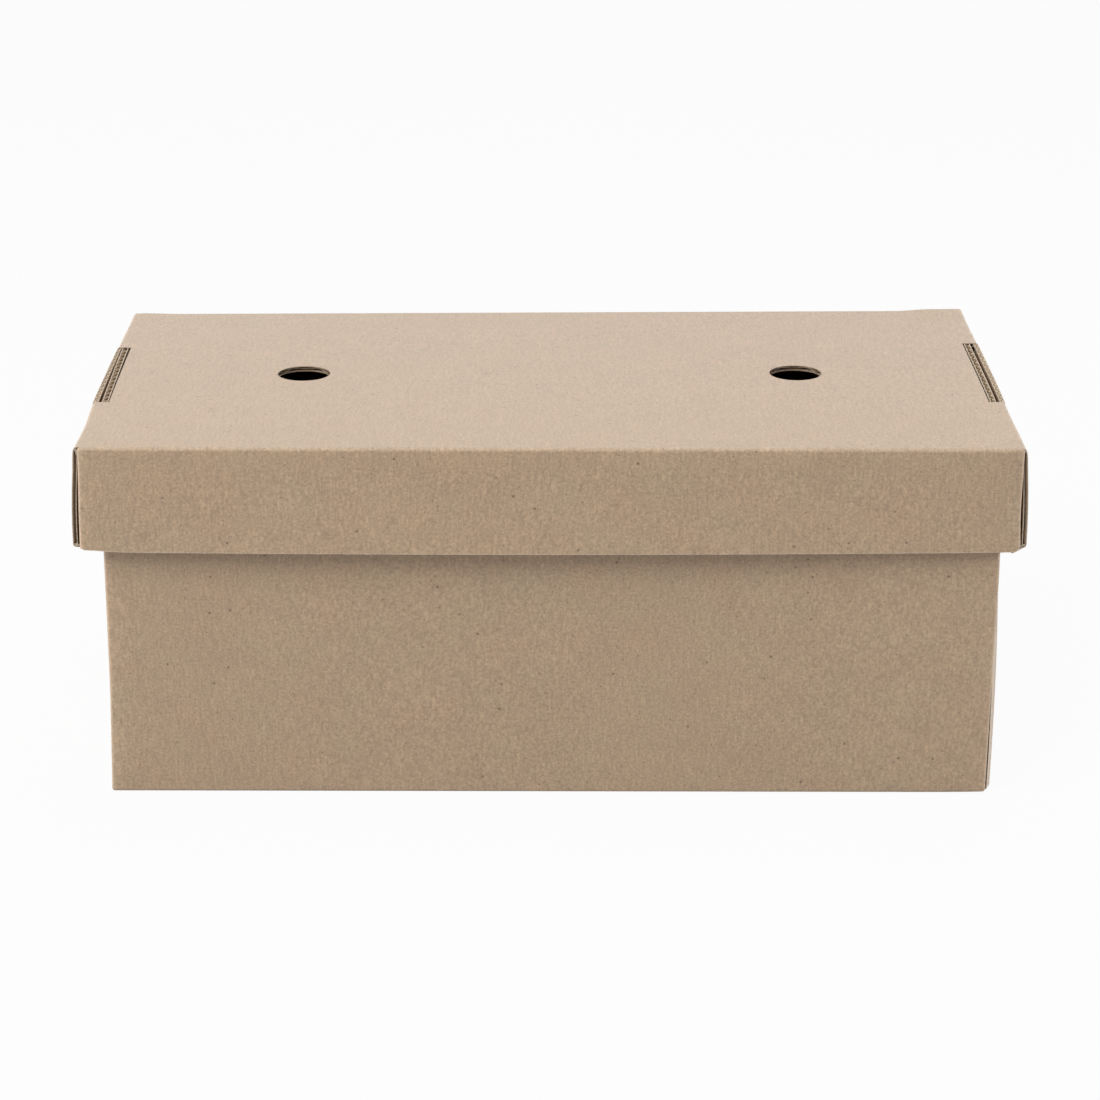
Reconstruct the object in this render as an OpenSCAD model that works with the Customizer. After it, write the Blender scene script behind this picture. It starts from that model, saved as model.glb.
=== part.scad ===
// Takeaway box of corrugated board: a deep base and a lift-off lid.
// Each is one die-cut sheet folded into a tray. The long walls are single. The end walls are rolled over
// into two plies that hold the long walls' corner flaps between them, and a tab on each inner ply locks
// through a slot beside the floor crease. The lid is the same tray, upside down, with two steam vents.

/* [Board] */
// Thickness of the corrugated board
board_t = 1.5; // [1:0.1:3]
// Inside radius of every crease
crease_r = 0.5; // [0.2:0.1:0.8]
// Play between plies of board that lie against each other
ply_gap = 0.1; // [0.1:0.05:0.4]

/* [Base] */
// Length over the end walls of the base
base_l = 244; // [180:1:400]
// Width over the long walls of the base
base_w = 134; // [110:1:260]
// Height of the long walls of the base
base_h = 99; // [40:1:180]
// How far the outer end plies of the base stop short of its front and back faces
base_ply_inset = 5; // [0:0.5:8]

/* [Lid] */
// Depth of the lid's long walls, top face included
lid_h = 29; // [20:1:39]
// How far the outer end plies of the lid stop short of its front and back faces
lid_ply_inset = 0; // [0:0.5:8]
// Play between the end walls of the base and of the lid, at each end
lid_end_play = 0.8; // [0.5:0.1:4]
// Play between the long walls of the base and of the lid, at each side
lid_side_play = 1.5; // [0.5:0.1:4]
// Gap between the base's rim and the underside of the lid
lid_seat_gap = 0.2; // [0.1:0.1:1]

/* [Folded ends] */
// How far a rolled end edge stops short of the cut edge of the long walls
end_drop = 1; // [0.5:0.1:3]
// Reach of each corner flap along its end wall
flap_l = 38; // [20:1:48]
// Cut-back of the free corners of a corner flap
flap_chamfer = 5; // [1:0.5:8]
// Length of the locking tab on each inner ply
tab_l = 56; // [30:1:80]
// Play round the locking tab in its slot
tab_play = 0.4; // [0.2:0.1:1.5]
// Play between an inner ply and the long walls beside it
inner_play = 0.5; // [0.3:0.1:2]

/* [Vents] */
// Diameter of each steam vent
vent_d = 15; // [8:0.5:25]
// Distance between the centres of the two vents
vent_pitch = 141; // [60:1:150]

/* [Hidden] */
$fn = 64;
kraft = [0.70, 0.60, 0.49];
// Overrun of a cut past the face that it opens
overrun = 1;
// Depth of the tab's cut end and of the lip's cut edge below the tray's outer face
edge_set_back = 0.1;
// Outside radius of every crease
crease_out = crease_r + board_t;
// Thickness of a finished end wall: outer ply, corner flap, inner ply
end_t = 3 * board_t + 2 * ply_gap;
// Distance from an end wall's outer face to the outer face of its corner flaps
flap_inset = board_t + ply_gap;
// Length of the slot that a locking tab goes through
slot_l = tab_l + 2 * tab_play;
// Length and width over the walls of the lid
lid_l = base_l + 2 * (lid_end_play + end_t);
lid_w = base_w + 2 * (lid_side_play + board_t);
// Height of the lid's top face above the ground
box_h = base_h + lid_seat_gap + board_t;

// Section of a quarter-turn crease about the origin, in the quadrant that starts at angle turn
module crease_section(turn) {
    rotate(turn)
        difference() {
            intersection() {
                circle(crease_out);
                square(crease_out);
            }
            circle(crease_r);
        }
}

// Section of a floor crease and the wall that rises from it, outer face at x = 0, inside at +x
module wall_section(top) {
    translate([crease_out, crease_out])
        crease_section(180);
    translate([0, crease_out])
        square([board_t, top - crease_out]);
}

// Section of an end wall's outer ply, with the first half of its rolled edge
module outer_ply_section(top) {
    wall_section(top - crease_out);
    translate([crease_out, top - crease_out])
        crease_section(90);
}

// Section of the second half of the rolled edge and of the inner ply that hangs from it
module inner_ply_section(top) {
    translate([crease_out, top - board_t])
        square([end_t - 2 * crease_out, board_t]);
    translate([end_t - crease_out, top - crease_out])
        crease_section(0);
    translate([end_t - board_t, board_t + ply_gap])
        square([board_t, top - crease_out - board_t - ply_gap]);
}

// A section drawn in X and Z, drawn out along Y
module along_y(length) {
    rotate([90, 0, 0])
        linear_extrude(length, center = true)
            children();
}

// A section drawn in Y and Z, drawn out along X
module along_x(length) {
    rotate([90, 0, 90])
        linear_extrude(length, center = true)
            children();
}

// Slot for the locking tab: it opens the floor from the outer ply to just past the inner ply
module tab_slot() {
    translate([-overrun, -slot_l / 2, -overrun])
        cube([overrun + end_t + tab_play, slot_l, overrun + crease_out]);
}

// Cut edge of the outer ply, which stands straight where the slot interrupts the floor crease
module slot_lip() {
    translate([0, -slot_l / 2, edge_set_back])
        cube([board_t, slot_l, crease_out - edge_set_back]);
}

// Locking tab, from the foot of the inner ply to the tray's outer face
module locking_tab() {
    tab_h = board_t + ply_gap - edge_set_back;
    translate([end_t - board_t, -tab_l / 2, edge_set_back])
        cube([board_t, tab_l, tab_h]);
}

// One rolled end wall of a tray of the given width, outer face at x = 0, inside at +x
module rolled_end(width, height, ply_inset) {
    top = height - end_drop;
    difference() {
        along_y(width - 2 * ply_inset)
            outer_ply_section(top);
        tab_slot();
    }
    slot_lip();
    along_y(width - 2 * (board_t + inner_play))
        inner_ply_section(top);
    locking_tab();
}

// Corner flap and its crease at the end of the front wall, end wall's outer face at x = 0
module corner_flap(height) {
    bottom = crease_out + ply_gap;
    flap_h = height - end_drop - 2 * bottom;
    translate([flap_inset + crease_out, crease_out, bottom])
        linear_extrude(flap_h)
            crease_section(180);
    translate([flap_inset, crease_out, bottom])
        rotate([90, 0, 90])
            linear_extrude(board_t)
                polygon([
                    [0, 0],
                    [flap_l - crease_out - flap_chamfer, 0],
                    [flap_l - crease_out, flap_chamfer],
                    [flap_l - crease_out, flap_h - flap_chamfer],
                    [flap_l - crease_out - flap_chamfer, flap_h],
                    [0, flap_h]
                ]);
}

// Floor panel between its four creases, with the two tab slots
module floor_panel(length, width) {
    difference() {
        translate([crease_out - length / 2, crease_out - width / 2, 0])
            cube([length - 2 * crease_out, width - 2 * crease_out, board_t]);
        at_both_ends(length)
            tab_slot();
    }
}

// Places a child drawn at an end's outer face at both ends of a tray
module at_both_ends(length) {
    for (end = [0, 1])
        mirror([end, 0, 0])
            translate([-length / 2, 0, 0])
                children();
}

// Places a child drawn at the front wall's outer face at the front and the back of a tray
module at_both_sides(width) {
    for (side = [0, 1])
        mirror([0, side, 0])
            translate([0, -width / 2, 0])
                children();
}

// Tray folded from one sheet, standing on its floor
module rolled_end_tray(length, width, height, ply_inset) {
    floor_panel(length, width);
    at_both_sides(width) {
        along_x(length - 2 * (flap_inset + crease_out))
            wall_section(height);
        at_both_ends(length)
            corner_flap(height);
    }
    at_both_ends(length)
        rolled_end(width, height, ply_inset);
}

module base() {
    color(kraft)
        rolled_end_tray(base_l, base_w, base_h, base_ply_inset);
}

module lid() {
    color(kraft)
        difference() {
            translate([0, 0, box_h])
                rotate([180, 0, 0])
                    rolled_end_tray(lid_l, lid_w, lid_h, lid_ply_inset);
            for (side = [-1, 1])
                translate([side * vent_pitch / 2, 0, box_h - board_t - overrun])
                    cylinder(d = vent_d, h = board_t + 2 * overrun);
        }
}

base();
lid();
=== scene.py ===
"""Looks of a takeaway box of corrugated board, built round its packed base and lid."""
import math

import bmesh
import bpy
from mathutils import Matrix, Vector, noise


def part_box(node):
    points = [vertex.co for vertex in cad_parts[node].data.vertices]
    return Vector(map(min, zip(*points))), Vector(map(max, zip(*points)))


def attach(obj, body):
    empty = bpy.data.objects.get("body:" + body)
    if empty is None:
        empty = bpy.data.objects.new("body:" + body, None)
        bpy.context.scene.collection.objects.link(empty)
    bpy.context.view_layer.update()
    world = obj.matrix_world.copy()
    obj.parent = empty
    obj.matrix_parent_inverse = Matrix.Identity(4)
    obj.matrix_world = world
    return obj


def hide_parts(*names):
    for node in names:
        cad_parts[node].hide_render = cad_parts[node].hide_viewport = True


bl_info = {
    "name": "Takeaway box",
    "version": (1, 0, 0),
    "blender": (4, 5, 0),
    "location": "View3D > Sidebar > Takeaway box",
    "description": "Folds the base and the lid of a corrugated takeaway box and sets up its studio",
    "category": "Object",
}

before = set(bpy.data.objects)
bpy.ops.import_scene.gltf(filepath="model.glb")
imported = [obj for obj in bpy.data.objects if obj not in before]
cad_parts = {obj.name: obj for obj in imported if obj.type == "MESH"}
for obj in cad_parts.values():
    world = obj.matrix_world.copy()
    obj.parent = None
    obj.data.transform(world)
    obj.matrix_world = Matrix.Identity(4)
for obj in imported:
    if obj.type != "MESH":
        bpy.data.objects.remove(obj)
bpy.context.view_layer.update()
BASE_LOW, BASE_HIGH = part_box("base")
LID_LOW, LID_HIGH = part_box("lid")
BASE_SIZE = BASE_HIGH - BASE_LOW
LID_SIZE = LID_HIGH - LID_LOW

# Places closer than this are the same place
SLACK = 2e-6
QUARTER = math.pi / 2
MM = 0.001
# A distance well past either tray
FAR = 1.0
# Height of a row of faces on a wall
ROW_STEP = 0.01
# Length of a face along a flute
FLUTE_STEP = 0.008
# Angles between faces from which the board is half crushed and fully crushed
SLIGHT_FOLD = math.radians(3)
SHARP_FOLD = math.radians(8)
# Half of the play between two plies, which tells them apart, in millimetres
HALF_PLAY = 0.05
# Points nearer than this to a long wall's outer face belong to that wall, in millimetres
WALL_DEEP = 1.9
# How far in from its cut edge an outer ply is crushed, in millimetres
CRUSH_REACH = 2.5
# Levels between which most of a noise lies
NOISE_LOW = 0.25
NOISE_HIGH = 0.75
# Scale of the streaks along the paper's fibres, against 1 across them
FIBRE_STRETCH = 0.16
# Shares of the light fibres, of the creases' pale wear and painted highlight, and of the dark specks in a
# paper's colour
HAIR_SHARE = 0.3
CREASE_WEAR_AND_HIGHLIGHT_SHARE = 0.08
SPECK_SHARE = 0.75
# Roughness of a crushed crease
CREASE_ROUGHNESS = 0.6
# Share of the floor that shows plain white, the rest of which takes the box's shadow
WHITE_SHARE = 0.95
# Strength of the light from all round
WORLD_LIGHT = 0.18


def length_prop(name, description, default):
    """A size that a user would change."""
    return bpy.props.FloatProperty(
        name=name, description=description, default=default, precision=5, unit="LENGTH", subtype="DISTANCE"
    )


def colour_prop(name, description, default):
    """A colour that a user would change."""
    return bpy.props.FloatVectorProperty(
        name=name, description=description, default=default, size=3, min=0, max=1, subtype="COLOR"
    )


def angle_prop(name, description, degrees):
    """An angle that a user would change."""
    return bpy.props.FloatProperty(
        name=name, description=description, default=math.radians(degrees), subtype="ANGLE"
    )


class BoardProps(bpy.types.PropertyGroup):
    """Make-up of the corrugated board."""

    thickness: length_prop("Thickness", "Thickness of the board", 0.0015)
    liner: length_prop("Liner", "Thickness of each flat liner", 0.00024)
    medium: length_prop("Medium", "Thickness of the fluted paper", 0.00018)
    flute_pitch: length_prop("Flute pitch", "Distance from one flute to the next", 0.0040)
    crease: length_prop("Crease radius", "Outside radius of a crease", 0.0009)
    crushed: bpy.props.FloatProperty(
        name="Crushed", description="Share of the board's thickness left in a crease", default=0.4,
        subtype="FACTOR"
    )
    ply_gap: length_prop("Ply gap", "Play between plies that lie against each other", 0.0001)
    frayed: length_prop("Frayed edge", "Width of the frayed strip along a cut edge", 0.00035)


class TrayProps(bpy.types.PropertyGroup):
    """Cut of the base and the lid."""

    base_inset: length_prop("Base ply inset", "Distance from the base's faces to its outer plies", 0.005)
    lid_inset: length_prop("Lid ply inset", "Distance from the lid's faces to its outer plies", 0.0010)
    base_drop: length_prop("Base end drop", "How far the base's rolled edges stop short of its rim", 0.001)
    lid_drop: length_prop("Lid end drop", "How far the lid's rolled edges stop short of its rim", 0.0002)
    flap: length_prop("Flap", "Reach of a corner flap along its end wall", 0.038)
    flap_chamfer: length_prop("Flap chamfer", "Cut-back of a corner flap's free corners", 0.005)
    tab: length_prop("Tab", "Length of a locking tab", 0.056)
    tab_play: length_prop("Tab play", "Play at the ends of a locking tab in its slot", 0.0004)
    slot: length_prop("Slot", "Reach of a tab slot from the end wall's outer face", 0.0051)
    inner_play: length_prop("Inner play", "Play between an inner ply and the long walls", 0.0005)
    vent: length_prop("Vent", "Diameter of a steam vent", 0.015)
    vent_pitch: length_prop("Vent pitch", "Distance between the centres of the vents", 0.141)


class PaperProps(bpy.types.PropertyGroup):
    """Colours of the papers."""

    liner: colour_prop("Liner", "Colour of the flat kraft liners", (0.42, 0.295, 0.188))
    medium: colour_prop("Medium", "Colour of the fluted paper", (0.33, 0.25, 0.175))
    cut: colour_prop("Cut edge", "Colour of a cut edge", (0.40, 0.315, 0.23))
    # Pale colour of light fibres, frayed edges and creases; on the creases it is partly wear and partly a
    # painted highlight
    pale_wear_and_highlight: colour_prop("Worn", "Colour of worn folds, frayed edges and light fibres", (0.60, 0.49, 0.37))
    speck: colour_prop("Speck", "Colour of the dark specks", (0.12, 0.075, 0.045))


class StageProps(bpy.types.PropertyGroup):
    """Studio and camera."""

    lens: bpy.props.FloatProperty(name="Lens", description="Focal length in millimetres", default=103.97)
    place: bpy.props.FloatVectorProperty(
        name="Camera place", description="Where the camera stands", default=(-0.0049, -0.87422, 0.35988),
        size=3, subtype="XYZ", unit="LENGTH"
    )
    pitch: angle_prop("Pitch", "How far the camera looks down", 19.654)
    yaw: angle_prop("Yaw", "How far the camera is turned left", -0.324)
    roll: angle_prop("Roll", "How far the camera is tilted", 0.128)
    floor: colour_prop("Floor", "Colour of the floor", (0.52, 0.52, 0.52))


class BoxProps(bpy.types.PropertyGroup):
    """All settings of the box."""

    board: bpy.props.PointerProperty(type=BoardProps)
    tray: bpy.props.PointerProperty(type=TrayProps)
    paper: bpy.props.PointerProperty(type=PaperProps)
    stage: bpy.props.PointerProperty(type=StageProps)


class TrayCut:
    """Sizes of one tray, standing on its floor panel."""

    def __init__(self, settings, size, inset, end_drop, roll_turn, columns):
        board = settings.board
        tray = settings.tray
        self.board = board
        self.bend = board.crease
        self.half_l = size.x / 2
        self.half_w = size.y / 2
        self.edge_x = self.half_l - self.bend
        self.edge_y = self.half_w - self.bend
        self.height = size.z
        self.top = self.height - end_drop
        self.end_t = 3 * board.thickness + 2 * board.ply_gap
        self.flap_in = board.thickness + board.ply_gap
        self.hinge_in = self.flap_in + self.bend
        self.wall_end = self.half_l - self.hinge_in
        self.flap_low = self.bend + board.ply_gap
        self.flap_reach = tray.flap
        self.chamfer = tray.flap_chamfer
        self.slot_half = tray.tab / 2 + tray.tab_play
        self.tab_half = tray.tab / 2
        self.slot_in = tray.slot
        # The floor panel lies flat again this far beside the middle of a slot, and this far in from the end
        self.slot_side = self.slot_half + 0.0046
        self.slot_rest = 0.0092
        self.fold_half = self.half_w - max(inset, self.bend)
        self.ply_half = self.half_w - inset
        self.inner_half = self.half_w - board.thickness - tray.inner_play
        self.roll_turn = roll_turn
        self.spine = (self.end_t - 2 * self.bend) / math.sin(roll_turn)
        self.roll_start = self.top - self.bend - self.spine * math.cos(roll_turn)
        self.inner_start = self.roll_start + self.spine * math.cos(roll_turn)
        self.spine_in = self.end_t - self.bend * (1 + math.cos(roll_turn))
        self.flap_high = self.roll_start - 0.3 * board.thickness
        self.fold_high = self.height - board.frayed
        self.ease = board.thickness
        self.foot = board.thickness + board.ply_gap
        self.set_back = board.ply_gap
        self.columns = columns
        self.rows = max(4, round(self.height / ROW_STEP))


def spread(low, high, count):
    """Evenly spaced places between two ends, without the ends."""
    return [low + (high - low) * (i + 1) / (count + 1) for i in range(count)]


def select_none():
    """Go to object mode with nothing selected."""
    if bpy.context.mode != "OBJECT":
        close_edit()
    bpy.ops.object.select_all(action="DESELECT")


def only(obj):
    """Select one object alone in object mode, and make it the active one."""
    select_none()
    obj.select_set(True)
    bpy.context.view_layer.objects.active = obj


def open_edit(obj):
    """Go into edit mode on one object, with edges to select."""
    only(obj)
    bpy.ops.object.mode_set(mode="EDIT")
    bpy.ops.mesh.select_mode(type="EDGE")


def close_edit():
    """Go back to object mode."""
    bpy.ops.object.mode_set(mode="OBJECT")


def add_plane(name, along_x, along_y):
    """A flat sheet centred on the origin."""
    select_none()
    bpy.ops.mesh.primitive_plane_add(size=1)
    obj = bpy.context.object
    obj.name = name
    obj.data.name = name
    obj.scale = (along_x, along_y, 1)
    bpy.ops.object.transform_apply()
    return obj


def cut_at(axis, places, **clear):
    """Cut the whole mesh in edit mode across an axis at each place."""
    normal = [0, 0, 0]
    normal[axis] = 1
    for place in places:
        bpy.ops.mesh.select_all(action="SELECT")
        point = [0, 0, 0]
        point[axis] = place
        bpy.ops.mesh.bisect(plane_co=point, plane_no=normal, **clear)


def inside(point, low, high):
    """Whether a point lies between two corners."""
    return all(a - SLACK <= c <= b + SLACK for c, a, b in zip(point, low, high))


def box_about(*ranges):
    """Lowest and highest corner of a box given as a range or a single place on each axis."""
    pairs = [sorted(r) if isinstance(r, (tuple, list)) else (r, r) for r in ranges]
    return [p[0] for p in pairs], [p[1] for p in pairs]


def pick_edges(obj, *boxes, rim=False):
    """Select only the edges that lie wholly in one of some boxes, or only its open edges."""
    corners = [box_about(*box) for box in boxes]
    mesh = bmesh.from_edit_mesh(obj.data)
    mesh.select_mode = {"EDGE"}
    for face in mesh.faces:
        face.select_set(False)
    for edge in mesh.edges:
        edge.select_set(False)
    found = 0
    for edge in mesh.edges:
        if rim and not (edge.is_boundary or edge.is_wire):
            continue
        if any(all(inside(v.co, low, high) for v in edge.verts) for low, high in corners):
            edge.select_set(True)
            found += 1
    mesh.select_flush_mode()
    bmesh.update_edit_mesh(obj.data)
    if not found:
        raise RuntimeError(f"no edges of {obj.name} lie in {boxes}")


def pick_verts(obj, places):
    """Select only the corners at the given places."""
    bpy.ops.mesh.select_mode(type="VERT")
    bpy.ops.mesh.select_all(action="DESELECT")
    mesh = bmesh.from_edit_mesh(obj.data)
    for vert in mesh.verts:
        vert.select_set(any((vert.co - Vector(p)).length < 5 * SLACK for p in places))
    mesh.select_flush_mode()
    bmesh.update_edit_mesh(obj.data)


def pick_faces(obj, ranges):
    """Select only the faces whose middles lie in a box."""
    low, high = box_about(*ranges)
    bpy.ops.mesh.select_mode(type="FACE")
    bpy.ops.mesh.select_all(action="DESELECT")
    mesh = bmesh.from_edit_mesh(obj.data)
    for face in mesh.faces:
        face.select_set(inside(face.calc_center_median(), low, high))
    bmesh.update_edit_mesh(obj.data)


def drop_part(obj, ranges):
    """Take away the faces of a sheet in edit mode whose middles lie in a box."""
    pick_faces(obj, ranges)
    bpy.ops.mesh.delete(type="FACE")
    bpy.ops.mesh.select_mode(type="EDGE")


def reach(x, y, z):
    """Draw the selected edges out along a straight step."""
    bpy.ops.mesh.extrude_region_move(TRANSFORM_OT_translate={"value": (x, y, z)})


def climb(start, places):
    """Draw the selected edges up or down to each height in turn."""
    for place in places:
        reach(0, 0, place - start)
        start = place


def fold(turn, centre, axis, steps=6):
    """Fold the selected edges round a crease. The spin operator counts its angle the other way."""
    bpy.ops.mesh.spin(steps=steps, angle=-turn, center=centre, axis=axis)


def fold_floor(name, cut):
    """Floor panel of a tray with its two tab slots open."""
    slot_x = cut.half_l - cut.slot_in
    sheet = add_plane(name, 2 * cut.edge_x, 2 * cut.edge_y)
    open_edit(sheet)
    # Columns where the panel bends beside the inner ply and the slot
    last = cut.half_l - cut.slot_rest
    columns = [cut.wall_end, cut.half_l - 0.0034, cut.half_l - 0.0042, slot_x, cut.half_l - 0.0068, last]
    cut_at(0, [*columns, *(-column for column in columns), *spread(-last, last, cut.columns)])
    # Rows for the slot and for the outer plies' cut edges, crushed as far in as crush_row
    crush_row = cut.half_w - 0.0075
    rows = {cut.slot_half, cut.slot_side, crush_row, cut.inner_half, cut.edge_y - cut.ease}
    rows.update(spread(cut.slot_side, cut.half_w - 0.005, 4))
    rows.update(spread(0, cut.slot_half, 3))
    if cut.fold_half < cut.edge_y - SLACK:
        rows.add(cut.fold_half)
    cut_at(1, [0, *rows, *(-row for row in rows)])
    for side in (-1, 1):
        drop_part(sheet, ((side * slot_x, side * cut.edge_x), (-cut.slot_half, cut.slot_half), 0))
    return sheet


def fold_long_wall(sheet, cut, side):
    """Front or back wall with its two closed corners and corner flaps."""
    edge_y = side * cut.edge_y
    wall_y = side * cut.half_w
    pick_edges(sheet, ((-cut.wall_end, cut.wall_end), edge_y, 0))
    fold(side * QUARTER, (0, edge_y, cut.bend), (1, 0, 0))
    low = cut.bend + cut.ease
    heights = [cut.flap_low, low, *spread(low, cut.flap_high, cut.rows), cut.flap_high]
    climb(cut.bend, [*heights, *spread(cut.flap_high, cut.fold_high, 2), cut.fold_high, cut.height])
    for end in (-1, 1):
        hinge_x = end * cut.wall_end
        flap_x = end * (cut.half_l - cut.flap_in)
        pick_edges(sheet, (hinge_x, (edge_y, wall_y), (0, cut.fold_high)))
        fold(-end * side * QUARTER, (hinge_x, edge_y, 0), (0, 0, 1))
        pick_edges(sheet, (flap_x, edge_y, (cut.flap_low, cut.flap_high)))
        steps = [cut.ease, cut.ease, cut.flap_reach - cut.bend - cut.chamfer - 2 * cut.ease, cut.chamfer]
        for step in steps:
            reach(0, -side * step, 0)
        tall = cut.flap_high - cut.flap_low
        middle = (0, 0, (cut.flap_high + cut.flap_low) / 2)
        bpy.ops.transform.resize(value=(1, 1, 1 - 2 * cut.chamfer / tall), center_override=middle)


def fold_end_wall(sheet, cut, end):
    """End wall: outer ply with the slot's lip, rolled edge, inner ply and locking tab."""
    edge_x = end * cut.edge_x
    wall_x = end * cut.half_l
    for low, high in ((cut.slot_half, cut.fold_half), (-cut.fold_half, -cut.slot_half)):
        pick_edges(sheet, (edge_x, (low, high), 0))
        fold(-end * QUARTER, (edge_x, 0, cut.bend), (0, 1, 0))
    pick_verts(sheet, [(wall_x, cut.slot_half, cut.bend), (wall_x, -cut.slot_half, cut.bend)])
    bpy.ops.mesh.edge_face_add()
    bpy.ops.mesh.select_mode(type="EDGE")
    lip = (wall_x, (-cut.slot_half, cut.slot_half), cut.bend)
    pick_edges(sheet, lip)
    bpy.ops.mesh.subdivide(number_cuts=7)
    pick_edges(sheet, lip)
    climb(cut.bend, [cut.set_back + cut.board.frayed, cut.set_back])
    pick_edges(sheet, (wall_x, (-cut.fold_half, cut.fold_half), cut.bend))
    low = cut.bend + cut.ease
    climb(cut.bend, [low, *spread(low, cut.flap_high, cut.rows), cut.flap_high, cut.roll_start])
    fold(-end * cut.roll_turn, (edge_x, 0, cut.roll_start), (0, 1, 0))
    reach(-end * cut.spine * math.sin(cut.roll_turn), 0, cut.spine * math.cos(cut.roll_turn))
    inner_x = end * (cut.half_l - cut.end_t)
    inner_half = min(cut.inner_half, cut.fold_half)
    spine_x = end * (cut.half_l - cut.spine_in)
    pick_edges(sheet, (spine_x, (-inner_half, inner_half), (cut.roll_start, cut.height)))
    centre = (inner_x + end * cut.bend, 0, cut.inner_start)
    fold(-end * (math.pi - cut.roll_turn), centre, (0, 1, 0), steps=8)
    foot_row = cut.foot + cut.board.frayed
    high = cut.inner_start - cut.ease
    climb(cut.inner_start, [high, *spread(high, foot_row, cut.rows), foot_row, cut.foot])
    pick_edges(sheet, (inner_x, (-cut.slot_half, cut.slot_half), cut.foot))
    climb(cut.foot, [cut.set_back + cut.board.frayed])
    bpy.ops.transform.resize(value=(1, cut.tab_half / cut.slot_half, 1), center_override=(0, 0, 0))
    climb(cut.set_back + cut.board.frayed, [cut.set_back])


def widen(cut, side, half):
    """Draw the selected side edges out to a half width, with a row for the frayed strip."""
    reach(0, side * (half - cut.fold_half - cut.board.frayed), 0)
    reach(0, side * cut.board.frayed, 0)


def widen_plies(sheet, cut, end):
    """Draw the side edges of the plies out to their full width."""
    outer = end * cut.half_l
    for side in (-1, 1):
        edge_y = side * cut.fold_half
        if cut.ply_half > cut.fold_half + SLACK:
            ply = ((end * cut.edge_x, outer), edge_y, (0, cut.roll_start))
            roll = ((end * (cut.half_l - cut.spine_in), outer), edge_y, (cut.roll_start, cut.height))
            pick_edges(sheet, ply, roll, rim=True)
            widen(cut, side, cut.ply_half)
        if cut.inner_half > cut.fold_half + SLACK:
            reach_x = (end * (cut.half_l - cut.end_t), end * cut.edge_x)
            pick_edges(sheet, (reach_x, edge_y, (cut.foot, cut.height)), rim=True)
            widen(cut, side, cut.inner_half)


def face_outwards(sheet):
    """Turn the sheet's faces to the tray's outside, which is downwards on its floor."""
    bpy.ops.mesh.select_mode(type="FACE")
    bpy.ops.mesh.select_all(action="SELECT")
    bpy.ops.mesh.remove_doubles(threshold=SLACK)
    bpy.ops.mesh.normals_make_consistent(inside=False)
    mesh = bmesh.from_edit_mesh(sheet.data)
    middle = min(mesh.faces, key=lambda f: f.calc_center_median().length)
    if middle.normal.z > 0:
        bpy.ops.mesh.flip_normals()


def mark_creases(sheet, cut):
    """Store where the sheet is creased and crushed, and where its cut edges are frayed."""
    mesh = sheet.data
    shape = bmesh.new()
    shape.from_mesh(mesh)
    angles = [max(edge.calc_face_angle(0) for edge in vert.link_edges) for vert in shape.verts]
    shape.free()
    crush = sheet.vertex_groups.new(name="crush")
    creased = []
    frayed = []
    for i, vert in enumerate(mesh.vertices):
        folded = 0.5 * (angles[i] > SLIGHT_FOLD) + 0.5 * (angles[i] > SHARP_FOLD)
        crush.add([i], 1 - folded * (1 - cut.board.crushed), "REPLACE")
        creased.append(float(folded == 1))
        x, y, z = (abs(c) for c in vert.co)
        on_rim = z > cut.height - SLACK or abs(z - cut.set_back) < SLACK
        on_side = y > cut.ply_half - SLACK and x > cut.half_l - cut.board.thickness
        frayed.append(float(on_rim or on_side))
    for name, values in (("creased", creased), ("frayed", frayed)):
        mesh.attributes.new(name, "FLOAT", "POINT").data.foreach_set("value", values)


def thicken(obj, thickness, rim, offset=-1.0, rim_material=0, group=""):
    """Give a sheet its thickness, or a share of it by a vertex group."""
    only(obj)
    solid = obj.modifiers.new("thickness", "SOLIDIFY")
    solid.thickness = thickness
    solid.vertex_group = group
    solid.offset = offset
    solid.use_even_offset = True
    solid.use_quality_normals = True
    solid.use_rim = rim
    solid.material_offset_rim = rim_material
    bpy.ops.object.modifier_apply(modifier=solid.name)


def fold_tray(name, cut):
    """The two liners of one tray, folded from one sheet that stands on its floor panel."""
    sheet = fold_floor(name, cut)
    for side in (-1, 1):
        fold_long_wall(sheet, cut, side)
    for end in (-1, 1):
        fold_end_wall(sheet, cut, end)
        widen_plies(sheet, cut, end)
    face_outwards(sheet)
    close_edit()
    mark_creases(sheet, cut)
    thicken(sheet, cut.board.thickness, rim=False, group="crush")
    # Slots for the flat liner, its cut edge and the liner between the plies
    for _ in range(3):
        sheet.data.materials.append(None)
    thicken(sheet, cut.board.liner, rim=True, rim_material=1)
    mark_hidden(sheet, cut)
    return sheet


def mark_hidden(sheet, cut):
    """Give the faces between the plies of the end walls, and in the slots, the third, duller paper."""
    half_board = cut.board.thickness / 2
    for face in sheet.data.polygons:
        u = cut.half_l - abs(face.center.x)
        v = cut.half_w - abs(face.center.y)
        z = face.center.z
        # The inner ply's inner face is a wall of the tray, apart from its tab in the slot
        inmost = cut.slot_in if z < cut.foot else cut.end_t - half_board
        between = half_board < u < inmost and v > 1.1 * cut.bend
        if between and 3 * cut.set_back < z < cut.roll_start and face.material_index == 0:
            face.material_index = 2


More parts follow.
